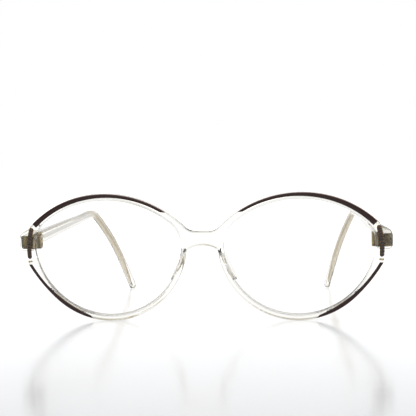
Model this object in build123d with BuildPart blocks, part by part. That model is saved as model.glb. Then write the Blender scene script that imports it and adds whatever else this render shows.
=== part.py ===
"""Oval eyeglasses: a clear moulded front, inlaid trims, barrel hinges and wire-cored temples."""

from build123d import *
from math import cos, radians, sin
import os

os.makedirs("parts", exist_ok=True)

# Millimetres, +Z up. X runs across the front, +Y from the front towards the wearer. The origin is on
# the table, midway between the lowest points of the two rims. The temples are open and their tips
# stand on the table too. The right-hand pieces are modelled and the left-hand ones are mirrored.

# One overrun serves every cut that runs past its piece
overrun = 2.0

# The front as a whole: it leans and it is bent about an upright line behind it
front_lean = 8.0  # degrees, top away from the wearer
front_radius = 300.0  # bend of the front face
front_depth = 3.8  # front face to back face
front_edge_round = 0.7

# Lens openings: a pointed oval between a flat upper arc and a rounder lower arc
eye_offset = 35.24  # middle of the front to the middle of an opening
eye_tilt = 0.95  # degrees, the temple side down
eye_rise = 21.4  # middle of the opening to its top
eye_fall = 21.45  # and to its bottom
eye_upper_radius = 36.8
eye_lower_radius = 27.7
eye_corner_round = 12.0

# Rim outside the openings
upper_rim_width = 2.5
upper_rim_radius = 40.3
upper_rim_shift = 0.27  # towards the temple, so the rim widens that way
lower_rim_width = 2.15
side_radius = 30.55  # outer edge beside the ornament
side_shift = 0.4
side_rise = 1.75
side_round = 3.0
side_low_angle = -8.5  # degrees round the side arc, where it meets the flank
flank_angle = -47.0  # degrees round the lower arc, where the flank leaves it
rim_bottom_angle = -95.0
rim_nose_angle = -195.0

# Saddle bridge
bridge_top = 33.6
bridge_height = 5.05
bridge_top_round = 5.5
bridge_arch_radius = 9.9
bridge_corner_round = 1.4

# End lugs behind the temple side of each rim
lug_reach = 69.2  # half the overall width
lug_setback = 1.4  # from the rim's front face to the lug's
lug_back = 12.5  # flat back face, behind the middle of the front
lug_root = 61.5
lug_root_rise = 7.6  # above and below the hinge
lug_root_fall = 2.6
lug_end_rise = 3.4
lug_end_fall = 3.1
lug_upper_round = 2.6
lug_lower_round = 1.6
lug_edge_round = 0.5
lug_clearance = 0.8  # back from the opening's edge

# Lenses and the groove that holds them
lens_depth = 1.1  # from the rim's front face to the lens
lens_thickness = 1.6
groove_depth = 0.9

# Dark trims inlaid in the outer front edge
trim_depth = 1.0
upper_trim_nose_width = 0.95
upper_trim_top_width = 1.35
upper_trim_temple_width = 2.0
upper_trim_temple_angle = 46.3  # degrees round the upper arc
upper_trim_nose_angle = 124.0
upper_trim_point = 2.2  # degrees that the nose end takes to come to a point
lower_trim_start_width = 1.5
lower_trim_flank_width = 1.6
lower_trim_end_angle = -78.0  # degrees round the lower arc
lower_trim_end_width = 1.1
lower_trim_point = 3.0  # degrees that the lower end takes to come to a point

# Ladder ornament: enamel cells in a metal carrier, let into the front face
ornament_width = 1.7
ornament_depth = 1.0
ornament_proud = 0.2
ornament_low_angle = -2.7  # degrees round the side arc
ornament_high_angle = 17.0
ornament_inset = 1.05  # outer edge of the rim to the middle of the carrier
cell_count = 10
cell_low_angle = -2.9
cell_pitch_angle = 2.1
cell_width = 1.3
cell_length = 0.84
cell_round = 0.28
cell_depth = 0.45
bar_angle = -6.4
bar_length = 0.6
bar_round = 0.2

# Nose pads, cemented to the nose side of the rims
pad_across = 8.1  # middle of the pad's nose face
pad_height = 20.6
pad_behind = 5.2
pad_length = 12.0
pad_width = 7.6
pad_thickness = 1.8
pad_round = 0.7
pad_slope = 64.3  # degrees, the long way of the pad down from level
pad_splay = 17.0  # degrees, the back edge away from the nose

# Barrel hinge: three knuckles on the front, two on the temple
hinge_height = 28.0  # up the front
hinge_across = 62.9
hinge_behind = 2.6  # lug's back face to the pin's axis
barrel_radius = 1.5
pin_radius = 0.6
pin_clearance = 0.05
knuckle_count = 5
knuckle_height = 0.92
knuckle_gap = 0.05
leaf_thickness = 0.7
front_leaf_inner = 1.4  # from the axis towards the nose
front_leaf_outer = 4.9  # from the axis towards the temple
temple_leaf_length = 9.0
temple_leaf_height = 3.6
stud_radius = 0.6
stud_length = 1.5
stud_spacing = 2.5
screw_head_radius = 1.1
screw_head_height = 0.5
screw_slot_width = 0.35
screw_slot_depth = 0.3

# Temple seen from the side
temple_height = 5.0  # at the hinge
temple_rise = 4.9  # degrees
temple_run = 80.4  # hinge to the start of the ear bend
bend_radius = 14.0
bend_turn = 36.9  # degrees
drop_radius = 80.0
drop_turn = 21.0
tip_radius = 1.7
blade_shares = [0, 0.2, 0.4, 0.54, 0.61, 0.64, 0.675, 0.73, 0.8, 0.89, 1]
blade_height_shares = [1, 0.88, 0.76, 0.68, 0.64, 0.62, 0.61, 0.61, 0.62, 0.65, 0.68]

# Temple seen from above
temple_inner = 64.9  # inner face where it meets the lug
temple_toe = 7.0  # degrees, towards the middle
temple_thickness = 3.9  # at the hinge
butt_clearance = 0.06
plan_run = 76.0
plan_radius = 110.0
plan_turn = 12.7  # degrees
plan_tip_run = 30.0
plan_shares = [0, 0.2, 0.4, 0.52, 0.59, 0.65, 0.71, 0.77, 0.86, 1]
plan_thickness_shares = [1, 0.88, 0.76, 0.69, 0.65, 0.62, 0.6, 0.58, 0.57, 0.54]
blade_edge_round = 0.85

# Wire core inside the temple
core_start_share = 0.12
core_end_share = 0.9
core_height = 1.5
core_thickness = 0.9
core_shares = [0, 0.2, 0.4, 0.52, 0.58, 0.61, 0.64, 0.67, 0.7, 0.77, 0.85, 0.94, 1]
core_height_shares = [1, 0.95, 0.9, 0.87, 0.86, 0.85, 0.85, 0.86, 0.88, 0.92, 0.95, 0.9, 0.7]

# Places worked out from the sizes
eye_height = lower_rim_width + eye_fall
eye_sag = front_radius - (front_radius**2 - eye_offset**2) ** 0.5
foot_round_drop = front_edge_round * (cos(radians(front_lean)) + sin(radians(front_lean)) - 1)
foot_lift = foot_round_drop + eye_sag * sin(radians(front_lean))
front_up = Vector(0, -sin(radians(front_lean)), cos(radians(front_lean)))
front_normal = Vector(0, -cos(radians(front_lean)), -sin(radians(front_lean)))
front_plane = Plane(origin=(0, 0, -foot_lift), x_dir=(1, 0, 0), z_dir=front_normal)
section_plane = Plane(origin=front_plane.origin, x_dir=(1, 0, 0), z_dir=front_up)
front_height = eye_height + eye_rise + upper_rim_width


def eye_point(across, up):
    """A point of the right opening, measured from its middle, in the front's own plane."""
    return Vector(eye_offset, eye_height) + Vector(across, up).rotate(Axis.Z, -eye_tilt)


def on_arc(centre, radius, angle):
    """A point round one of the opening's arcs, the angle measured in the opening's tilted frame."""
    turned = radians(angle - eye_tilt)
    return centre + Vector(cos(turned), sin(turned)) * radius


eye_upper_centre = eye_point(0, eye_rise - eye_upper_radius)
eye_lower_centre = eye_point(0, eye_lower_radius - eye_fall)
rim_upper_centre = eye_point(upper_rim_shift, eye_rise + upper_rim_width - upper_rim_radius)
side_centre = eye_point(side_shift, side_rise)
rim_lower_radius = eye_lower_radius + lower_rim_width
flank_foot = on_arc(eye_lower_centre, rim_lower_radius, flank_angle)
flank_head = on_arc(side_centre, side_radius, side_low_angle)
side_head = on_arc(side_centre, side_radius, 2 * ornament_high_angle)
ornament_radius = side_radius - ornament_inset


def nearest(corners, place):
    """The corner that lies nearest to a place."""
    return corners.sort_by_distance(place)[0]


def eye_shape(margin):
    """The outline of an opening, or of what reaches a margin past its edge."""
    with BuildSketch(mode=Mode.PRIVATE) as shape:
        with Locations(eye_lower_centre):
            Circle(eye_lower_radius + margin)
        with Locations(eye_upper_centre):
            Circle(eye_upper_radius + margin, mode=Mode.INTERSECT)
        fillet(shape.vertices(), eye_corner_round + margin)
    return shape.sketch


def layer(near, far):
    """The bent layer of the front between two depths behind its front face."""
    with BuildPart(mode=Mode.PRIVATE) as bent:
        with BuildSketch(section_plane.offset(-overrun)):
            with Locations((0, front_radius)):
                Circle(front_radius - near)
                Circle(front_radius - far, mode=Mode.SUBTRACT)
            Rectangle(2 * (lug_reach + overrun), 2 * (lug_back + far), mode=Mode.INTERSECT)
        extrude(amount=front_height + 2 * overrun)
    return bent.part


def both_ways(sketch, mode=Mode.ADD):
    """Extrude a sketch of the front far enough to pass right through it."""
    extrude(sketch, amount=lug_back + overrun, both=True, mode=mode)


def write_pair(name, right):
    """Write a right-hand piece and its mirror image."""
    with BuildPart() as left:
        mirror(right.part, about=Plane.YZ)
    right.part.label = f"{name}_right"
    left.part.label = f"{name}_left"
    export_step(right.part, f"parts/{name}_right.step")
    export_step(left.part, f"parts/{name}_left.step")


# Rim outline of the right half: lower arc, flank and side arc, closed high above, cut by the upper arc
with BuildSketch(front_plane) as rim_outline:
    with BuildLine():
        nose_foot = on_arc(eye_lower_centre, rim_lower_radius, rim_nose_angle)
        rim_bottom = on_arc(eye_lower_centre, rim_lower_radius, rim_bottom_angle)
        ThreePointArc(nose_foot, rim_bottom, flank_foot)
        TangentArc(flank_foot, flank_head, tangent=(flank_foot - eye_lower_centre).rotate(Axis.Z, 90))
        ThreePointArc(flank_head, on_arc(side_centre, side_radius, 0), side_head)
        Polyline(side_head, eye_point(0, 2 * front_height), nose_foot)
    make_face()
    with Locations((0, bridge_top - bridge_height / 2)):
        Rectangle(eye_offset, front_height, align=(Align.MIN, Align.MIN))
    with Locations(rim_upper_centre):
        Circle(upper_rim_radius, mode=Mode.INTERSECT)
    fillet(nearest(rim_outline.vertices(), flank_head), side_round)
    side_top = on_arc(side_centre, side_radius, ornament_high_angle)
    fillet(nearest(rim_outline.vertices(), side_top), side_round)

with BuildSketch(front_plane) as front_outline:
    with Locations((0, bridge_top)):
        Rectangle(eye_offset - eye_lower_radius, 2 * bridge_height, align=(Align.MIN, Align.MAX))
    with Locations((0, bridge_top - bridge_height - bridge_arch_radius)):
        Circle(bridge_arch_radius, mode=Mode.SUBTRACT)
    add(rim_outline.sketch_local)
    fillet(nearest(front_outline.vertices(), (eye_offset - eye_lower_radius, bridge_top)), bridge_top_round)
    arch_corner = (eye_offset - rim_lower_radius, bridge_top - bridge_height)
    fillet(nearest(front_outline.vertices(), arch_corner), bridge_corner_round)
    add(eye_shape(0), mode=Mode.SUBTRACT)
    mirror(about=Plane.YZ)

# Clear front before anything is let into it
with BuildPart() as rim_blank:
    both_ways(front_outline.sketch)
    add(layer(0, front_depth), mode=Mode.INTERSECT)
    faces = rim_blank.faces().filter_by(GeomType.CYLINDER)
    skins = faces.sort_by(SortBy.AREA)[-2:]
    fillet(skins.edges(), front_edge_round)

with BuildSketch(front_plane) as lug_outline:
    with BuildLine():
        lug_top_root = (lug_root, hinge_height + lug_root_rise)
        lug_top_end = (lug_reach, hinge_height + lug_end_rise)
        lug_low_end = (lug_reach, hinge_height - lug_end_fall)
        lug_low_root = (lug_root, hinge_height - lug_root_fall)
        Polyline(lug_top_root, lug_top_end, lug_low_end, lug_low_root, close=True)
    make_face()
    fillet(nearest(lug_outline.vertices(), lug_top_end), lug_upper_round)
    fillet(nearest(lug_outline.vertices(), lug_low_end), lug_lower_round)
    add(eye_shape(lug_clearance), mode=Mode.SUBTRACT)

# The lug is clear material too: it starts behind the rim's front face and ends in a flat back face
with BuildPart() as lug_blank:
    with BuildSketch(front_plane.offset(-lug_back)):
        add(lug_outline.sketch_local)
    extrude(amount=lug_back)
    add(layer(lug_setback, 2 * lug_back), mode=Mode.INTERSECT)
    end_face = lug_blank.faces().sort_by(Axis.X)[-1]
    fillet(end_face.edges().sort_by(Axis.Y)[0], lug_edge_round)

# Prisms that cut the front, one for each thing that is let into it
with BuildSketch(front_plane) as upper_trim_outline:
    with BuildLine():
        trim_arc_radius = upper_rim_radius + overrun
        inner_nose_angle = upper_trim_nose_angle - upper_trim_point
        upper_middle_angle = (upper_trim_nose_angle + upper_trim_temple_angle) / 2
        inner_temple = on_arc(
            rim_upper_centre, upper_rim_radius - upper_trim_temple_width, upper_trim_temple_angle
        )
        inner_top = on_arc(rim_upper_centre, upper_rim_radius - upper_trim_top_width, upper_middle_angle)
        inner_nose = on_arc(rim_upper_centre, upper_rim_radius - upper_trim_nose_width, inner_nose_angle)
        far_nose_angle = upper_trim_nose_angle + upper_trim_point * overrun / upper_trim_nose_width
        far_nose = on_arc(rim_upper_centre, trim_arc_radius, far_nose_angle)
        far_top = on_arc(rim_upper_centre, trim_arc_radius, upper_middle_angle)
        far_temple = on_arc(rim_upper_centre, trim_arc_radius, upper_trim_temple_angle)
        ThreePointArc(inner_temple, inner_top, inner_nose)
        Line(inner_nose, far_nose)
        ThreePointArc(far_nose, far_top, far_temple)
        Line(far_temple, inner_temple)
    make_face()

with BuildSketch(front_plane) as lower_trim_outline:
    with BuildLine():
        start_outer = on_arc(side_centre, side_radius + overrun, side_low_angle)
        start_inner = on_arc(side_centre, side_radius - lower_trim_start_width, side_low_angle)
        flank_inner = on_arc(eye_lower_centre, rim_lower_radius - lower_trim_flank_width, flank_angle)
        inner_end_angle = lower_trim_end_angle + lower_trim_point
        inner_end = on_arc(eye_lower_centre, rim_lower_radius - lower_trim_end_width, inner_end_angle)
        far_end_angle = lower_trim_end_angle - lower_trim_point * overrun / lower_trim_end_width
        far_end = on_arc(eye_lower_centre, rim_lower_radius + overrun, far_end_angle)
        flank_outer = on_arc(eye_lower_centre, rim_lower_radius + 2 * overrun, flank_angle)
        ThreePointArc(start_inner, flank_inner, inner_end)
        Line(inner_end, far_end)
        ThreePointArc(far_end, flank_outer, start_outer)
        Line(start_outer, start_inner)
    make_face()

with BuildSketch(front_plane) as carrier_outline:
    with BuildLine():
        carrier_low = on_arc(side_centre, ornament_radius, ornament_low_angle)
        carrier_middle_angle = (ornament_low_angle + ornament_high_angle) / 2
        carrier_middle = on_arc(side_centre, ornament_radius, carrier_middle_angle)
        carrier_high = on_arc(side_centre, ornament_radius, ornament_high_angle)
        carrier_line = ThreePointArc(carrier_low, carrier_middle, carrier_high)
    SlotArc(carrier_line, ornament_width)

# The blank, the lug and the mirrored lug make the clear front
with BuildPart() as front_blank:
    add(rim_blank.part)
    add(lug_blank.part)
    mirror(lug_blank.part, about=Plane.YZ)

with BuildPart() as upper_trim:
    both_ways(upper_trim_outline.sketch)
    add(layer(0, trim_depth), mode=Mode.INTERSECT)
    add(rim_blank.part, mode=Mode.INTERSECT)
write_pair("upper_trim", upper_trim)

with BuildPart() as lower_trim:
    both_ways(lower_trim_outline.sketch)
    add(layer(0, trim_depth), mode=Mode.INTERSECT)
    add(rim_blank.part, mode=Mode.INTERSECT)
write_pair("lower_trim", lower_trim)

# Lens, filling its groove
with BuildPart() as lens:
    with BuildSketch(front_plane) as lens_outline:
        add(eye_shape(groove_depth))
    both_ways(lens_outline.sketch)
    add(layer(lens_depth, lens_depth + lens_thickness), mode=Mode.INTERSECT)
write_pair("lens", lens)


def ladder_cell(angle, length, width, corner, near, far):
    """A small rounded block across the ornament's line, at an angle round the side arc."""
    with BuildPart(mode=Mode.PRIVATE) as block:
        with BuildSketch(front_plane) as face:
            with Locations(on_arc(side_centre, ornament_radius, angle)):
                RectangleRounded(width, length, corner, rotation=angle - eye_tilt)
        both_ways(face.sketch)
        add(layer(near, far), mode=Mode.INTERSECT)
    return block.part


# Enamel cells stand a little proud of their carrier
cell_top = -2 * ornament_proud
cell_floor = cell_depth - ornament_proud
cells = []
for number in range(cell_count):
    cell_angle = cell_low_angle + cell_pitch_angle * number
    with BuildPart() as cell:
        add(ladder_cell(cell_angle, cell_length, cell_width, cell_round, cell_top, cell_floor))
    cells.append(cell.part)
    write_pair(f"enamel_{number + 1}", cell)

with BuildPart() as ornament_bar:
    add(ladder_cell(bar_angle, bar_length, ornament_width, bar_round, -ornament_proud, ornament_depth))
write_pair("ornament_bar", ornament_bar)

with BuildPart() as carrier:
    both_ways(carrier_outline.sketch)
    add(layer(-ornament_proud, ornament_depth), mode=Mode.INTERSECT)
    add(cells, mode=Mode.SUBTRACT)
write_pair("ornament_carrier", carrier)

# Hinge plane: X across, Y back towards the wearer, Z along the pin, its origin in the middle of the pin
hinge_origin = front_plane.from_local_coords((hinge_across, hinge_height, -lug_back - hinge_behind))
hinge_plane = Plane(origin=hinge_origin, x_dir=(1, 0, 0), z_dir=front_up)
leaf_plane = Plane(hinge_plane.location * Rotation(0, 0, temple_toe))
knuckle_pitch = knuckle_height + knuckle_gap
hinge_length = knuckle_count * knuckle_pitch - knuckle_gap
toe_cos = cos(radians(temple_toe))
toe_sin = sin(radians(temple_toe))
leaf_gap = (temple_inner - hinge_across) * toe_cos - hinge_behind * toe_sin


def knuckles(plane, numbers, neck_from, neck_to, bore_radius):
    """Barrels with their necks, numbered from the lower end of the pin."""
    near_x, near_y = neck_from
    far_x, far_y = neck_to
    with BuildPart(mode=Mode.PRIVATE) as barrels:
        for number in numbers:
            foot = number * knuckle_pitch - hinge_length / 2
            with BuildSketch(plane.offset(foot)):
                Circle(barrel_radius)
                with BuildLine():
                    Polyline((near_x, near_y), (far_x, near_y), (far_x, far_y), (near_x, far_y), close=True)
                make_face()
                Circle(bore_radius, mode=Mode.SUBTRACT)
            extrude(amount=knuckle_height)
    return barrels.part


# Front leaf: a plate let into the lug's back face
with BuildPart() as front_leaf:
    with BuildSketch(hinge_plane.offset(-hinge_length / 2)):
        with Locations((-front_leaf_inner, -hinge_behind)):
            leaf_width = front_leaf_inner + front_leaf_outer
            Rectangle(leaf_width, leaf_thickness, align=(Align.MIN, Align.MAX))
    extrude(amount=hinge_length)
    neck_foot = (-barrel_radius, -hinge_behind - leaf_thickness / 2)
    add(knuckles(hinge_plane, range(0, knuckle_count, 2), neck_foot, (0, 0), pin_radius))
write_pair("hinge_front_leaf", front_leaf)

# Temple leaf: a plate let into the temple's inner face
with BuildPart() as temple_leaf:
    with BuildSketch(leaf_plane.offset(-temple_leaf_height / 2)):
        with Locations((leaf_gap, 0)):
            Rectangle(leaf_thickness, temple_leaf_length, align=(Align.MIN, Align.MIN))
    extrude(amount=temple_leaf_height)
    neck_end = (leaf_gap + leaf_thickness / 2, barrel_radius)
    add(knuckles(leaf_plane, range(1, knuckle_count, 2), (0, 0), neck_end, pin_radius + pin_clearance))
write_pair("hinge_temple_leaf", temple_leaf)

# Screw down through the knuckles, slotted on top
with BuildPart() as screw:
    with BuildSketch(hinge_plane.offset(-hinge_length / 2)):
        Circle(pin_radius)
    extrude(amount=hinge_length)
    with BuildSketch(hinge_plane.offset(hinge_length / 2)):
        Circle(screw_head_radius)
    extrude(amount=screw_head_height)
    with BuildSketch(hinge_plane.offset(hinge_length / 2 + screw_head_height)):
        Rectangle(screw_slot_width, 2 * screw_head_radius)
    extrude(amount=-screw_slot_depth, mode=Mode.SUBTRACT)
write_pair("hinge_screw", screw)

# Studs that key the leaves into the plastic
front_stud_place = (front_leaf_outer - 2 * stud_radius, -hinge_behind - leaf_thickness, 0)
front_stud_origin = hinge_plane.from_local_coords(front_stud_place)
front_stud_plane = Plane(origin=front_stud_origin, x_dir=(1, 0, 0), z_dir=front_normal)
front_studs = []
for number in range(2):
    rise = stud_spacing * (number - 1 / 2)
    with BuildPart() as stud:
        with BuildSketch(front_stud_plane):
            with Locations((0, rise)):
                Circle(stud_radius)
        extrude(amount=stud_length)
    front_studs.append(stud.part)
    write_pair(f"front_stud_{number + 1}", stud)

temple_stud_place = (leaf_gap + leaf_thickness, temple_leaf_length / 2, 0)
temple_stud_origin = leaf_plane.from_local_coords(temple_stud_place)
temple_stud_plane = Plane(origin=temple_stud_origin, x_dir=leaf_plane.y_dir, z_dir=leaf_plane.x_dir)
temple_studs = []
for number in range(2):
    along = stud_spacing * (2 * number - 1)
    with BuildPart() as stud:
        with BuildSketch(temple_stud_plane):
            with Locations((along, 0)):
                Circle(stud_radius)
        extrude(amount=stud_length)
    temple_studs.append(stud.part)
    write_pair(f"temple_stud_{number + 1}", stud)

# Nose pad: a rounded oval plate, cut where the rim and the lens take its place
pad_origin = front_plane.from_local_coords((pad_across, pad_height, -pad_behind))
slope_cos = cos(radians(pad_slope))
slope_sin = sin(radians(pad_slope))
pad_long = front_plane.x_dir * slope_cos - front_plane.y_dir * slope_sin
pad_level = front_plane.x_dir * slope_sin + front_plane.y_dir * slope_cos
pad_normal = -pad_level * cos(radians(pad_splay)) - front_normal * sin(radians(pad_splay))
pad_plane = Plane(origin=pad_origin, x_dir=pad_long, z_dir=pad_normal)
with BuildPart() as pad_body:
    with BuildSketch(pad_plane):
        Ellipse(pad_length / 2, pad_width / 2)
    extrude(amount=-pad_thickness)
    fillet(pad_body.edges(), pad_round)
with BuildPart() as nose_pad:
    add(pad_body.part)
    add(front_blank.part, mode=Mode.SUBTRACT)
    add(lens.part, mode=Mode.SUBTRACT)
write_pair("nose_pad", nose_pad)

# Clear front: the blank, less everything that is let into it
with BuildPart() as front_frame:
    add(front_blank.part)
    let_in = [lens.part, upper_trim.part, lower_trim.part, carrier.part, ornament_bar.part, front_leaf.part]
    let_in += cells + front_studs
    add(let_in, mode=Mode.SUBTRACT)
    mirror(let_in, about=Plane.YZ, mode=Mode.SUBTRACT)
front_frame.part.label = "front_frame"
export_step(front_frame.part, "parts/front_frame.step")


def ribbon(path, shares, widths):
    """Draw both edges of a band along a path, with its width given at shares of the length."""
    left_edge = []
    right_edge = []
    for share, width in zip(shares, widths):
        across = (path % share).rotate(Axis.Z, 90) * (width / 2)
        left_edge.append(path @ share + across)
        right_edge.append(path @ share - across)
    Spline(*left_edge)
    Spline(*right_edge)
    Line(left_edge[0], right_edge[0])
    return left_edge[-1], right_edge[-1]


# Temple path seen from the side, in Y and Z: straight run, ear bend, long drop, straight tip
butt_point = front_plane.from_local_coords((temple_inner, hinge_height, -lug_back))
path_start = Vector(butt_point.Y, butt_point.Z) + Vector(-overrun, 0).rotate(Axis.Z, temple_rise)
with BuildLine(mode=Mode.PRIVATE) as side_path:
    run = PolarLine(path_start, temple_run + overrun, temple_rise)
    bend = JernArc(run @ 1, run % 1, bend_radius, -bend_turn)
    drop = JernArc(bend @ 1, bend % 1, drop_radius, -drop_turn)
    tip_fall = bend_turn + drop_turn - temple_rise
    tip_length = ((drop @ 1).Y - tip_radius) / sin(radians(tip_fall))
    PolarLine(drop @ 1, tip_length, -tip_fall)
side_wire = side_path.wires()[0]

# And from above, in X and Y: straight run, inward curve, straight tip
half_across = Vector(temple_thickness / 2, 0).rotate(Axis.Z, temple_toe)
plan_start = Vector(temple_inner, butt_point.Y) + half_across
plan_heading = 90 + temple_toe
with BuildLine(mode=Mode.PRIVATE) as plan_path:
    run_in = Vector(overrun, 0).rotate(Axis.Z, plan_heading)
    plan_front = PolarLine(plan_start - run_in, plan_run + overrun, plan_heading)
    plan_curve = JernArc(plan_front @ 1, plan_front % 1, plan_radius, plan_turn)
    PolarLine(plan_curve @ 1, plan_tip_run, plan_heading + plan_turn)
plan_wire = plan_path.wires()[0]

with BuildSketch(Plane.YZ) as blade_side:
    with BuildLine():
        heights = [temple_height * share for share in blade_height_shares]
        heights[-1] = 2 * tip_radius
        tip_left, tip_right = ribbon(side_wire, blade_shares, heights)
        ThreePointArc(tip_left, side_wire @ 1 + (side_wire % 1) * tip_radius, tip_right)
    make_face()
with BuildSketch(Plane.XY.offset(-overrun)) as blade_plan:
    with BuildLine():
        widths = [temple_thickness * share for share in plan_thickness_shares]
        Line(*ribbon(plan_wire, plan_shares, widths))
    make_face()
butt_plane = front_plane.offset(-lug_back - butt_clearance)
with BuildPart() as blade:
    extrude(blade_side.sketch, amount=lug_reach + overrun)
    extrude(blade_plan.sketch, amount=front_height, mode=Mode.INTERSECT)
    curved_edges = blade.edges().filter_by(GeomType.BSPLINE)
    long_edges = curved_edges.filter_by(lambda edge: edge.length > temple_height)
    fillet(long_edges, blade_edge_round)
    split(bisect_by=butt_plane, keep=Keep.BOTTOM)

# Wire core: the same two views, narrower, stopping short of the tip
core_span_share = core_end_share - core_start_share
core_side_shares = [core_start_share + core_span_share * share for share in core_shares]
with BuildSketch(Plane.YZ) as core_side:
    with BuildLine():
        core_heights = [core_height * share for share in core_height_shares]
        Line(*ribbon(side_wire, core_side_shares, core_heights))
    make_face()
with BuildSketch(Plane.XY.offset(-overrun)) as core_plan:
    with BuildLine():
        Line(*ribbon(plan_wire, plan_shares, [core_thickness] * len(plan_shares)))
    make_face()
with BuildPart() as core:
    extrude(core_side.sketch, amount=lug_reach + overrun)
    extrude(core_plan.sketch, amount=front_height, mode=Mode.INTERSECT)
write_pair("temple_core", core)

with BuildPart() as temple:
    add(blade.part)
    add([temple_leaf.part, core.part] + temple_studs, mode=Mode.SUBTRACT)
write_pair("temple", temple)
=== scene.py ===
# %% [markdown]
# # Oval eyeglasses in clear plastic
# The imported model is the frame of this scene: it gives every part its place and size in metres.
# This file adds what solids can't carry, which is the look of moulded plastic, lacquer, enamel and metal.

import bpy
import numpy as np
from mathutils import Matrix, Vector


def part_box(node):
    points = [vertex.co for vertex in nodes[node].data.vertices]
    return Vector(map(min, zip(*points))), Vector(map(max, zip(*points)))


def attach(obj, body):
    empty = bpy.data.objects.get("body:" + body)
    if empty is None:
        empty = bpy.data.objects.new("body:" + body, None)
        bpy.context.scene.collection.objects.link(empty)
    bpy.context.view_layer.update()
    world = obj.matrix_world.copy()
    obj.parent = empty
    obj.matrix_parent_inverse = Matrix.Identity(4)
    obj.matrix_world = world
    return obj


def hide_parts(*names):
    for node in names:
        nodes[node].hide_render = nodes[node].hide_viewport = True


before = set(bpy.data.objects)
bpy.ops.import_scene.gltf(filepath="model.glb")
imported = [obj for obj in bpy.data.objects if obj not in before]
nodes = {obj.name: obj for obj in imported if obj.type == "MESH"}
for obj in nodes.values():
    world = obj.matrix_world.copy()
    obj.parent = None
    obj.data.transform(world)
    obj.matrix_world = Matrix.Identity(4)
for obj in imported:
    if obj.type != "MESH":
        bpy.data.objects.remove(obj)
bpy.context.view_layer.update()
scene = bpy.context.scene
mm = 0.001
sides = ("left", "right")

# %% [markdown]
# A few helpers serve every material. Colours are written as they look on a screen, and the shader wants
# them linear, so one function turns a hex code into linear light. Another adds a node to a tree, sets its
# values and joins its inputs, and a third fills a colour ramp, which keeps each recipe down to a few lines.

# %% Colour and node helpers
white = (1, 1, 1, 1)


def to_linear(code):
    """Screen colour to linear light: c / 12.92 when dark, else ((c + 0.055) / 1.055) to the power 2.4."""
    channels = np.array([int(code[i : i + 2], 16) for i in (1, 3, 5)]) / 255
    linear = np.where(channels <= 0.04045, channels / 12.92, ((channels + 0.055) / 1.055) ** 2.4)
    return (*linear.tolist(), 1)


def add_node(tree, kind, settings=None, inputs=None):
    """Add a node, set its properties, and fill its sockets with values or with other nodes' outputs."""
    node = tree.nodes.new(kind)
    for name, value in (settings or {}).items():
        setattr(node, name, value)
    for name, value in (inputs or {}).items():
        if isinstance(value, bpy.types.NodeSocket):
            tree.links.new(value, node.inputs[name])
        else:
            node.inputs[name].default_value = value
    return node


def set_stops(ramp_node, stops):
    """Give a colour ramp its stops in rising order, each a position and a linear colour."""
    elements = ramp_node.color_ramp.elements
    while len(elements) < len(stops):
        elements.new(1.0)
    for number, (position, colour) in enumerate(stops):
        elements[number].position = position
        elements[number].color = colour


def grey(level):
    """A neutral linear colour."""
    return (level, level, level, 1)


def new_material(name):
    """An empty material and its node tree."""
    material = bpy.data.materials.new(name)
    material.use_nodes = True
    material.node_tree.nodes.clear()
    return material, material.node_tree


# %% [markdown]
# The picture was taken a little right of the middle with a long lens, the camera just above the rims and
# tipped down by two degrees. The camera's three axes are worked out from its turn, tip and roll.

# %% Camera
camera_place = np.array([47.349, -508.545, 61.386]) * mm
turn, tip, roll = -0.08883, 0.03892, -0.01298  # radians: to the left, downwards, and about the view
focal_pixels = 1400.0
picture_pixels = 416
sensor_width = 36.0  # mm
forward = np.array([np.sin(turn) * np.cos(tip), np.cos(turn) * np.cos(tip), -np.sin(tip)])
level = np.array([np.cos(turn), -np.sin(turn), 0.0])
above = np.cross(level, forward)
right = level * np.cos(roll) + above * np.sin(roll)
up = -level * np.sin(roll) + above * np.cos(roll)
camera_data = bpy.data.cameras.new("camera")
camera_data.sensor_width = sensor_width
camera_data.lens = focal_pixels / picture_pixels * sensor_width
camera_data.sensor_fit = "HORIZONTAL"
camera_data.clip_start = 0.01
camera = bpy.data.objects.new("camera", camera_data)
columns = np.column_stack([right, up, -forward, camera_place])
camera.matrix_world = Matrix([*columns.tolist(), [0, 0, 0, 1]])
scene.collection.objects.link(camera)
scene.camera = camera
scene.view_settings.view_transform = "Standard"
# Light turns back and forth inside clear plastic many times before it leaves
scene.cycles.max_bounces = 32
scene.cycles.transmission_bounces = 32

# %% [markdown]
# Clear plastic shows only by what it bends into view. In a room that is white all round it would vanish,
# so the studio has a white band along the horizon, a beige wall above it and to the sides, and a white
# panel overhead. Thin beige lines then run along every curved edge. The camera, the metal and the plastic
# all see the same room, and the band behind the glasses is plain white.

# %% Studio light
world = bpy.data.worlds.new("studio")
scene.world = world
world.use_nodes = True
tree = world.node_tree
tree.nodes.clear()
direction = add_node(tree, "ShaderNodeTexCoord").outputs["Generated"]
compass = add_node(tree, "ShaderNodeSeparateXYZ", inputs={"Vector": direction})
# How white the room is by height, from 0 at the horizon to 1 overhead: band, wall and panel
height = add_node(tree, "ShaderNodeValToRGB", inputs={"Fac": compass.outputs["Z"]})
heights = ((0.30, 1.0), (0.48, 0.0), (0.80, 0.0), (0.88, 1.0), (0.95, 1.0))
set_stops(height, [(position, grey(level)) for position, level in heights])
sideways = add_node(tree, "ShaderNodeMath", {"operation": "ABSOLUTE"}, {0: compass.outputs["X"]})
wings = add_node(
    tree,
    "ShaderNodeMapRange",
    {"interpolation_type": "SMOOTHSTEP"},
    {"Value": sideways.outputs[0], "From Min": 0.35, "From Max": 0.75, "To Min": 1.0, "To Max": 0.1},
)
lower_of_both = {0: height.outputs["Color"], 1: wings.outputs["Result"]}
whiteness = add_node(tree, "ShaderNodeMath", {"operation": "MINIMUM"}, lower_of_both)
wall_beige = (0.40, 0.36, 0.28, 1)
wall_to_white = {0: whiteness.outputs[0], 6: wall_beige, 7: white}
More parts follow.
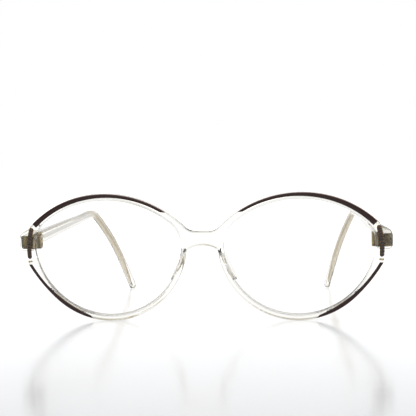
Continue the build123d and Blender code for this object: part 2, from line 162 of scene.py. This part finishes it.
studio = add_node(tree, "ShaderNodeMix", {"data_type": "RGBA"}, wall_to_white)
room = add_node(tree, "ShaderNodeBackground", inputs={"Color": studio.outputs[2], "Strength": 1.0})
add_node(tree, "ShaderNodeOutputWorld", inputs={"Surface": room.outputs[0]})

# A wide lamp overhead gives the floor its soft shadow
panel_data = bpy.data.lights.new("overhead_panel", "AREA")
panel_data.shape = "RECTANGLE"
panel_data.size = 2.4
panel_data.size_y = 2.0
panel_data.energy = 9.0  # watts
panel = bpy.data.objects.new("overhead_panel", panel_data)
panel.location = (0.0, 0.15, 1.1)
scene.collection.objects.link(panel)

# %% [markdown]
# The floor is a sheet of white acrylic: it keeps a soft shadow and mirrors the rims faintly, more so the
# flatter it is looked at. A gloss layer over a white body gives both, with no trick for the mirror image.

# %% Floor
white_acrylic, tree = new_material("white acrylic sheet, polished")
body = add_node(
    tree,
    "ShaderNodeBsdfPrincipled",
    inputs={"Base Color": to_linear("#c6cad2"), "Roughness": 0.13, "IOR": 1.5, "Specular IOR Level": 0.35},
)
# The floor brightens by itself towards the back until it meets the white behind, so no horizon shows
place = add_node(tree, "ShaderNodeTexCoord").outputs["Object"]
across_and_back = add_node(tree, "ShaderNodeSeparateXYZ", inputs={"Vector": place})
way_back = add_node(
    tree,
    "ShaderNodeMapRange",
    inputs={"Value": across_and_back.outputs["Y"], "From Min": -0.3, "From Max": 1.3},
)
brightening = add_node(tree, "ShaderNodeValToRGB", inputs={"Fac": way_back.outputs["Result"]})
levels = ((0.04, 0.12), (0.12, 0.26), (0.2, 0.38), (1.0, 0.9))
set_stops(brightening, [(position, grey(level)) for position, level in levels])
glow = add_node(
    tree, "ShaderNodeEmission", inputs={"Color": brightening.outputs["Color"], "Strength": 1.0}
)
floor_sum = add_node(tree, "ShaderNodeAddShader", inputs={0: body.outputs[0], 1: glow.outputs[0]})
add_node(tree, "ShaderNodeOutputMaterial", inputs={"Surface": floor_sum.outputs[0]})
floor_reach = 6.0  # metres, far enough that no edge shows
floor_mesh = bpy.data.meshes.new("floor")
corners = np.array([[-1, -1, 0], [1, -1, 0], [1, 1, 0], [-1, 1, 0]]) * floor_reach
floor_mesh.from_pydata(corners.tolist(), [], [(0, 1, 2, 3)])
floor_mesh.materials.append(white_acrylic)
floor = bpy.data.objects.new("floor", floor_mesh)
scene.collection.objects.link(floor)

# %% [markdown]
# The front, the pads and the temple sleeves are cellulose propionate, pressed clear into a polished mould.
# It bends light a little less than glass does, and it has aged to a faint straw colour that only shows
# where the light crosses a lot of it. So the colour is an absorption inside, not a paint outside.

# %% Clear plastic
def clear_material(name, tint, density, roughness, ior):
    """Transparent solid: a smooth refracting skin around an inside that swallows a little colour."""
    material, tree = new_material(name)
    place = add_node(tree, "ShaderNodeTexCoord").outputs["Object"]
    # Moulded plastic pulls in by a few hundredths of a millimetre, in swells about 4 mm long
    swell = add_node(
        tree, "ShaderNodeTexNoise", inputs={"Vector": place, "Scale": 1 / (4 * mm), "Detail": 1.0}
    )
    bump = add_node(
        tree,
        "ShaderNodeBump",
        inputs={"Height": swell.outputs["Fac"], "Strength": 0.25, "Distance": 0.05 * mm},
    )
    skin = add_node(
        tree,
        "ShaderNodeBsdfPrincipled",
        inputs={
            "Base Color": (1, 1, 1, 1),
            "Roughness": roughness,
            "IOR": ior,
            "Transmission Weight": 1.0,
            "Normal": bump.outputs["Normal"],
        },
    )
    inside = add_node(
        tree, "ShaderNodeVolumeAbsorption", inputs={"Color": to_linear(tint), "Density": density}
    )
    add_node(
        tree,
        "ShaderNodeOutputMaterial",
        inputs={"Surface": skin.outputs[0], "Volume": inside.outputs[0]},
    )
    return material


clear_propionate = clear_material("cellulose propionate, clear, moulded", "#ddd3a4", 50.0, 0.02, 1.47)

sharp_angle = np.radians(35)
merge_distance = 0.002 * mm


def polished_copy(node, name, outer_only=False, shrink=0.0):
    """Copy a solid's triangles with doubles merged, so the shading runs smoothly over its curved faces.

    A corner between two triangles stays sharp where they turn by more than the sharp angle. Every point
    moves in along its normal by the shrink, which parts a let-in piece from the walls of its pocket.
    """
    source = nodes[node].data
    count = len(source.vertices)
    points = np.empty(count * 3)
    source.vertices.foreach_get("co", points)
    points = points.reshape(-1, 3)
    _, first, same = np.unique(
        np.round(points / merge_distance).astype(np.int64), axis=0, return_index=True, return_inverse=True
    )
    corners = np.empty(len(source.loops), dtype=np.int64)
    source.loops.foreach_get("vertex_index", corners)
    faces = same.reshape(-1)[corners].reshape(-1, 3)
    whole = (faces[:, 0] != faces[:, 1]) & (faces[:, 1] != faces[:, 2]) & (faces[:, 2] != faces[:, 0])
    faces = faces[whole]
    if outer_only:
        faces = faces[shell_of(faces, points[first])]
    mesh = bpy.data.meshes.new(name)
    mesh.from_pydata(points[first].tolist(), [], faces.tolist())
    mesh.validate()
    mesh.update()
    if shrink:
        points = np.empty(len(mesh.vertices) * 3)
        normals = np.empty(len(mesh.vertices) * 3)
        mesh.vertices.foreach_get("co", points)
        mesh.vertex_normals.foreach_get("vector", normals)
        mesh.vertices.foreach_set("co", points - normals * shrink)
    mesh.shade_smooth()
    mesh.set_sharp_from_angle(angle=sharp_angle)
    piece = bpy.data.objects.new(name, mesh)
    scene.collection.objects.link(piece)
    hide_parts(node)
    return piece


def shell_of(faces, points):
    """Which triangles belong to the outermost closed skin: labels spread over shared corners."""
    label = np.arange(len(points))
    while True:
        low = label[faces].min(axis=1)
        spread = label.copy()
        np.minimum.at(spread, faces.reshape(-1), np.repeat(low, 3))
        if np.array_equal(spread, label):
            break
        label = spread
    outer = label[faces[:, 0]][points[faces[:, 0], 2].argmax()]
    return label[faces[:, 0]] == outer


for side in sides:
    sleeve = polished_copy(f"temple_{side}", f"clear_temple_{side}", outer_only=True)
    sleeve.data.materials.append(clear_propionate)
    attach(sleeve, f"temple_{side}")
    print(side, "temple sleeve triangles:", len(sleeve.data.polygons))

# %% [markdown]
# Rims, bridge and nose pads come out of one mould, with no seam between them. Two clear pieces that only
# touch would show a mirror where they meet, so each pad is made as a form of its own that reaches into
# the rim, and a Boolean union melts the three into one skin.

# %% Front with its pads
# The middle of the nose face: across the front, up it and behind it
pad_across, pad_height, pad_behind = 8.1 * mm, 20.6 * mm, 4.6 * mm
front_lean, pad_slope, pad_splay = np.radians([8.0, 64.3, 6.0])
front_origin = np.array([0, 0, -0.38 * mm])  # where the solids' front plane starts
half_length, half_width, nose_rise, rim_rise = 6.6 * mm, 3.3 * mm, 1.4 * mm, 0.2 * mm
across_front = np.array([1.0, 0, 0])
up_front = np.array([0, -np.sin(front_lean), np.cos(front_lean)])
out_front = np.array([0, -np.cos(front_lean), -np.sin(front_lean)])
fullness_power = 0.8  # under 1, so the swelling keeps its width longer than an ellipse does
meridians, parallels = 96, 33


def pad_surface(side_sign):
    """A low oval swelling: longitude t and latitude v, both ellipses.

    It rises rim_rise on the rim's side and nose_rise on the nose's side of its widest line, and is
    scaled by cos(v) to the fullness power. The widest line lies nose_rise behind the nose face.
    """
    long_way = across_front * np.cos(pad_slope) - up_front * np.sin(pad_slope)
    level_way = across_front * np.sin(pad_slope) + up_front * np.cos(pad_slope)
    to_nose = -level_way * np.cos(pad_splay) - out_front * np.sin(pad_splay)
    wide_way = np.cross(to_nose, long_way)
    middle = pad_across * across_front + pad_height * up_front - pad_behind * out_front + front_origin
    middle = middle - to_nose * nose_rise
    low, high = (np.array(corner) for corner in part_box("nose_pad_right"))
    print("pad middle", middle / mm, "solid from", low / mm, "to", high / mm)
    t = np.linspace(0, 2 * np.pi, meridians, endpoint=False)
    v = np.linspace(-np.pi / 2, np.pi / 2, parallels)[1:-1]
    rise = np.where(v > 0, nose_rise, rim_rise) * np.sin(v)
    fullness = np.cos(v) ** fullness_power
    grid = (
        middle
        + half_length * (fullness[:, None] * np.cos(t))[..., None] * long_way
        + half_width * (fullness[:, None] * np.sin(t))[..., None] * wide_way
        + np.repeat(rise[:, None], meridians, axis=1)[..., None] * to_nose
    )
    ends = np.array([middle - rim_rise * to_nose, middle + nose_rise * to_nose])
    points = np.concatenate([grid.reshape(-1, 3), ends]) * [side_sign, 1, 1]
    rows, columns = grid.shape[:2]
    row, column = np.meshgrid(np.arange(rows - 1), np.arange(columns), indexing="ij")
    a = row * columns + column
    b = row * columns + (column + 1) % columns
    quads = np.stack([a, b, b + columns, a + columns], axis=-1).reshape(-1, 4)
    column = np.arange(columns)
    following = (column + 1) % columns
    rim_fan = np.stack([np.full(columns, rows * columns), following, column], axis=-1)
    last = (rows - 1) * columns
    nose_fan = np.stack([np.full(columns, rows * columns + 1), last + column, last + following], axis=-1)
    faces = quads.tolist() + rim_fan.tolist() + nose_fan.tolist()
    # The mirrored pad's faces would look inwards, so their corners are taken the other way round
    return points, [face[::-1] for face in faces] if side_sign < 0 else faces


def applied(piece):
    """A piece's mesh with its modifiers worked into it."""
    return bpy.data.meshes.new_from_object(piece.evaluated_get(bpy.context.evaluated_depsgraph_get()))


front = polished_copy("front_frame", "clear_front")
before = len(front.data.polygons)
for side, side_sign in zip(sides, (-1, 1)):
    points, faces = pad_surface(side_sign)
    mesh = bpy.data.meshes.new(f"pad_{side}")
    mesh.from_pydata(points.tolist(), [], faces)
    pad = bpy.data.objects.new(f"pad_{side}", mesh)
    scene.collection.objects.link(pad)
    union = front.modifiers.new("pad", "BOOLEAN")
    union.operation = "UNION"
    union.solver = "EXACT"
    union.object = pad
    joined = applied(front)
    front.modifiers.clear()
    front.data = joined
    bpy.data.objects.remove(pad)
print("front triangles before and after the pads:", before, len(front.data.polygons))
front.data.materials.clear()
front.data.materials.append(clear_propionate)
front.data.shade_smooth()
front.data.set_sharp_from_angle(angle=sharp_angle)
# Large faces keep their own normals, so the small triangles along the seams don't bend them
weighted = front.modifiers.new("weighted", "WEIGHTED_NORMAL")
weighted.keep_sharp = True
joined = applied(front)
front.modifiers.clear()
front.data = joined
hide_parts("front_frame", "nose_pad_left", "nose_pad_right")
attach(front, "front")

# %% [markdown]
# The lenses are plain hard resin, polished and almost without colour. They only show as a slight veil and
# as a line where their rim sits in the groove, so the glass is left free of bumps.

# %% Lenses
lens_resin, tree = new_material("lens resin, clear, polished")
skin = add_node(
    tree,
    "ShaderNodeBsdfPrincipled",
    inputs={"Base Color": (1, 1, 1, 1), "Roughness": 0.0, "IOR": 1.5, "Transmission Weight": 1.0},
)
inside = add_node(
    tree, "ShaderNodeVolumeAbsorption", inputs={"Color": to_linear("#dfe3dc"), "Density": 12.0}
)
add_node(tree, "ShaderNodeOutputMaterial", inputs={"Surface": skin.outputs[0], "Volume": inside.outputs[0]})
for side in sides:
    lens = polished_copy(f"lens_{side}", f"clear_lens_{side}", shrink=0.03 * mm)
    lens.data.materials.append(lens_resin)
    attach(lens, "front")

# %% [markdown]
# The trims are thin strips of dark brown plastic laid into the clear front. Plastic this dark still lets a
# little light through where it is thin. That light is painted into the colour: the strips are near black
# on faces that point to the front or back, and their narrow sides get a painted glow of red brown.
# Which way a face points in the object decides it, not where the camera is.

# %% Dark trims
brown_lacquer, tree = new_material("cellulose acetate, dark brown, polished")
place = add_node(tree, "ShaderNodeTexCoord")
facing = add_node(tree, "ShaderNodeSeparateXYZ", inputs={"Vector": place.outputs["Normal"]})
# How squarely each face points to the front or back; the narrow sides, which point least so, get the
# painted glow
depth = add_node(tree, "ShaderNodeMath", {"operation": "ABSOLUTE"}, {0: facing.outputs["Y"]})
# Streaks of pigment about 3 mm long
streaks = add_node(
    tree,
    "ShaderNodeTexNoise",
    inputs={"Vector": place.outputs["Object"], "Scale": 1 / (3 * mm), "Detail": 3.0},
)
streaks_and_painted_side_light = add_node(
    tree,
    "ShaderNodeMath",
    {"operation": "MULTIPLY_ADD"},
    {0: streaks.outputs["Fac"], 1: 0.35, 2: depth.outputs[0]},
)
# Pigment streaks plus painted light: near black on faces to the front or back, a painted red brown glow on
# the narrow sides
trim_colour_with_painted_side_light = add_node(tree, "ShaderNodeValToRGB", inputs={"Fac": streaks_and_painted_side_light.outputs[0]})
set_stops(trim_colour_with_painted_side_light, [(0.25, to_linear("#6e3018")), (1.0, to_linear("#2a110c"))])
skin = add_node(
    tree,
    "ShaderNodeBsdfPrincipled",
    inputs={
        "Base Color": trim_colour_with_painted_side_light.outputs["Color"],
        "Roughness": 0.22,
        "IOR": 1.48,
        "Specular IOR Level": 0.4,
    },
)
add_node(tree, "ShaderNodeOutputMaterial", inputs={"Surface": skin.outputs[0]})
for side in sides:
    for node in ("upper_trim", "lower_trim"):
        strip = polished_copy(f"{node}_{side}", f"dark_{node}_{side}", shrink=0.01 * mm)
        strip.data.materials.append(brown_lacquer)
        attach(strip, "front")


# %% [markdown]
# The ornament's carrier and the small bar below it are stamped brass, worn a little and dulled in the
# corners. The hinges are nickel silver with drawing lines along them, and the temple cores are the same
# alloy in a paler, warmer tone. All three are one recipe: a metal whose colour and roughness wander.

# %% Metals
def metal_material(name, light, dark, grain, stretch, rough_low, rough_high, pale_until=None):
    """Metal: its colour wanders between two tones and its roughness between two values.

    The grain is the noise's size in metres, and the stretch is how much finer it is along each axis.
    From the front back to pale_until in metres, the colour turns to a silvery white.
    """
    material, tree = new_material(name)
    place = add_node(tree, "ShaderNodeTexCoord").outputs["Object"]
    lines = add_node(tree, "ShaderNodeMapping", inputs={"Vector": place, "Scale": stretch})
    noise = add_node(
        tree, "ShaderNodeTexNoise", inputs={"Vector": lines.outputs[0], "Scale": 1 / grain, "Detail": 4.0}
    )
    tone = add_node(tree, "ShaderNodeValToRGB", inputs={"Fac": noise.outputs["Fac"]})
    set_stops(tone, [(0.35, to_linear(dark)), (0.65, to_linear(light))])
    colour = tone.outputs["Color"]
    if pale_until is not None:
        # Towards the front the colour turns near white, a whitening that depends on depth alone
        depth = add_node(tree, "ShaderNodeSeparateXYZ", inputs={"Vector": place}).outputs["Y"]
        edge = {"Value": depth, "From Min": pale_until - 15 * mm, "From Max": pale_until}
        front_whitening = add_node(tree, "ShaderNodeMapRange", {"interpolation_type": "SMOOTHSTEP"}, edge)
        mixed = {0: front_whitening.outputs["Result"], 6: to_linear("#fdfcfa"), 7: colour}
        colour = add_node(tree, "ShaderNodeMix", {"data_type": "RGBA"}, mixed).outputs[2]
    dull = add_node(
        tree,
        "ShaderNodeMapRange",
        inputs={
            "Value": noise.outputs["Fac"],
            "From Min": 0.3,
            "From Max": 0.7,
            "To Min": rough_high,
            "To Max": rough_low,
        },
    )
    bump = add_node(
        tree,
        "ShaderNodeBump",
        inputs={"Height": noise.outputs["Fac"], "Strength": 0.3, "Distance": 0.02 * mm},
    )
    skin = add_node(
        tree,
        "ShaderNodeBsdfPrincipled",
        inputs={
            "Base Color": colour,
            "Metallic": 1.0,
            "Roughness": dull.outputs["Result"],
            "Normal": bump.outputs["Normal"],
        },
    )
    add_node(tree, "ShaderNodeOutputMaterial", inputs={"Surface": skin.outputs[0]})
    return material


bright_brass = metal_material(
    "brass, stamped, bright", "#cfc3a0", "#978b68", 0.5 * mm, (1, 1, 1), 0.2, 0.4
)
dark_brass = metal_material(
    "brass, stamped, blackened", "#8a6c50", "#3a2a20", 0.4 * mm, (1, 1, 1), 0.3, 0.5
)
# Drawing lines are finer than a tenth of a millimetre, too fine for the picture, so these are coarser
nickel_silver = metal_material(
    "nickel silver, drawn", "#b09c6c", "#5c4f36", 0.6 * mm, (1, 1, 0.1), 0.25, 0.45
)
gilt_wire = metal_material(
    "nickel silver, gilt, drawn", "#fbf2e0", "#ecdfc4", 0.4 * mm, (1, 0.1, 1), 0.35, 0.5, pale_until=95 * mm
)


end_height = 0.9 * mm  # how far up from its lowest point a core's end reaches
drawn_share, drawn_width = 0.8, 0.35


def draw_out(core, sleeve):
    """Draw the core's lower end out: drawn_share of the way to its sleeve's end, drawn_width as wide."""
    ends = []
    for mesh in (core.data, nodes[sleeve].data):
        points = np.empty(len(mesh.vertices) * 3)
        mesh.vertices.foreach_get("co", points)
        points = points.reshape(-1, 3)
        lowest = points[:, 2] < points[:, 2].min() + end_height
        ends.append((points, lowest, points[lowest].mean(axis=0)))
    (points, lowest, core_end), (_, _, sleeve_end) = ends
    drawn_end = core_end + drawn_share * (sleeve_end - core_end)
    points[lowest] = drawn_end + drawn_width * (points[lowest] - core_end)
    core.data.vertices.foreach_set("co", points.reshape(-1))
    core.data.update()
    print("core drawn out from", core_end / mm, "to", drawn_end / mm, "with", int(lowest.sum()), "points")


metal_finishes = {"ornament_carrier": dark_brass, "ornament_bar": bright_brass}
for node in (
    "hinge_front_leaf",
    "hinge_temple_leaf",
    "hinge_screw",
    "front_stud_1",
    "front_stud_2",
    "temple_stud_1",
    "temple_stud_2",
):
    metal_finishes[node] = nickel_silver
for side in sides:
    for node, finish in metal_finishes.items():
        materials = nodes[f"{node}_{side}"].data.materials
        materials.clear()
        materials.append(finish)
    core = polished_copy(f"temple_core_{side}", f"core_wire_{side}")
    draw_out(core, f"temple_{side}")
    core.data.materials.append(gilt_wire)
    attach(core, f"temple_{side}")

# %% [markdown]
# Each enamel cell is a drop of black glass paste that shrank in the kiln, so its top is a low cushion.
# The solid gives each drop its place. The drop itself is one grid, folded into a closed form.

# %% Enamel drops
drop_length, drop_width, drop_rise, drop_sink, drop_lift = np.array([0.84, 1.3, 0.16, 0.4, 0.28]) * mm
rings = np.array([0.25, 0.5, 0.7, 0.85, 0.95, 1.0])
turn_count = 24
corner_power = 0.55  # 1 gives an ellipse, and 0 a rectangle


def drop_surface(centre, along, across, outward):
    """A low cushion: radius r and turn t over a rounded square, lifted by drop_rise times (1 - r^4).

    The outline at turn t is |cos t| and |sin t| to the corner power with their signs, which squares a
    circle. The last ring runs down the sides by drop_sink.
    """
    turns = np.linspace(0, 2 * np.pi, turn_count, endpoint=False)
    outline_x = np.sign(np.cos(turns)) * np.abs(np.cos(turns)) ** corner_power * drop_length / 2
    outline_y = np.sign(np.sin(turns)) * np.abs(np.sin(turns)) ** corner_power * drop_width / 2
    lift = drop_rise * (1 - rings**4)
    x = np.concatenate([np.outer(rings, outline_x), outline_x[None]])
    y = np.concatenate([np.outer(rings, outline_y), outline_y[None]])
    z = np.concatenate([np.repeat(lift[:, None], turn_count, axis=1), np.full((1, turn_count), -drop_sink)])
    grid = centre + x[..., None] * along + y[..., None] * across + z[..., None] * outward
    top = centre + outward * drop_rise
    foot = centre - outward * drop_sink
    return np.concatenate([grid.reshape(-1, 3), [top], [foot]])


def drop_faces():
    """Quads between the rings, and a fan of triangles at the top and at the foot."""
    ring_count = len(rings) + 1
    ring, turn = np.meshgrid(np.arange(ring_count - 1), np.arange(turn_count), indexing="ij")
    following = (turn + 1) % turn_count
    a = ring * turn_count + turn
    b = ring * turn_count + following
    quads = np.stack([a, a + turn_count, b + turn_count, b], axis=-1).reshape(-1, 4)
    turn = np.arange(turn_count)
    following = (turn + 1) % turn_count
    top = np.full(turn_count, ring_count * turn_count)
    last = (ring_count - 1) * turn_count
    top_fan = np.stack([top, turn, following], axis=-1)
    foot_fan = np.stack([top + 1, last + following, last + turn], axis=-1)
    return quads.tolist() + top_fan.tolist() + foot_fan.tolist()


black_enamel, tree = new_material("vitreous enamel, black")
skin = add_node(
    tree,
    "ShaderNodeBsdfPrincipled",
    inputs={"Base Color": to_linear("#0c0b0c"), "Roughness": 0.08, "IOR": 1.52, "Coat Weight": 0.5},
)
add_node(tree, "ShaderNodeOutputMaterial", inputs={"Surface": skin.outputs[0]})

cell_count = 10
outward = out_front
for side in sides:
    corners = [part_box(f"enamel_{number + 1}_{side}") for number in range(cell_count)]
    centres = np.array([[list(low), list(high)] for low, high in corners]).mean(axis=1)
    ladder = np.gradient(centres, axis=0)
    for number in range(cell_count):
        along = ladder[number] - outward * (ladder[number] @ outward)
        along /= np.linalg.norm(along)
        across = np.cross(outward, along)
        points = drop_surface(centres[number] + outward * drop_lift, along, across, outward)
        mesh = bpy.data.meshes.new(f"drop_{number + 1}_{side}")
        mesh.from_pydata(points.tolist(), [], drop_faces())
        mesh.shade_smooth()
        mesh.materials.append(black_enamel)
        drop = bpy.data.objects.new(mesh.name, mesh)
        scene.collection.objects.link(drop)
        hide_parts(f"enamel_{number + 1}_{side}")
        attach(drop, "front")
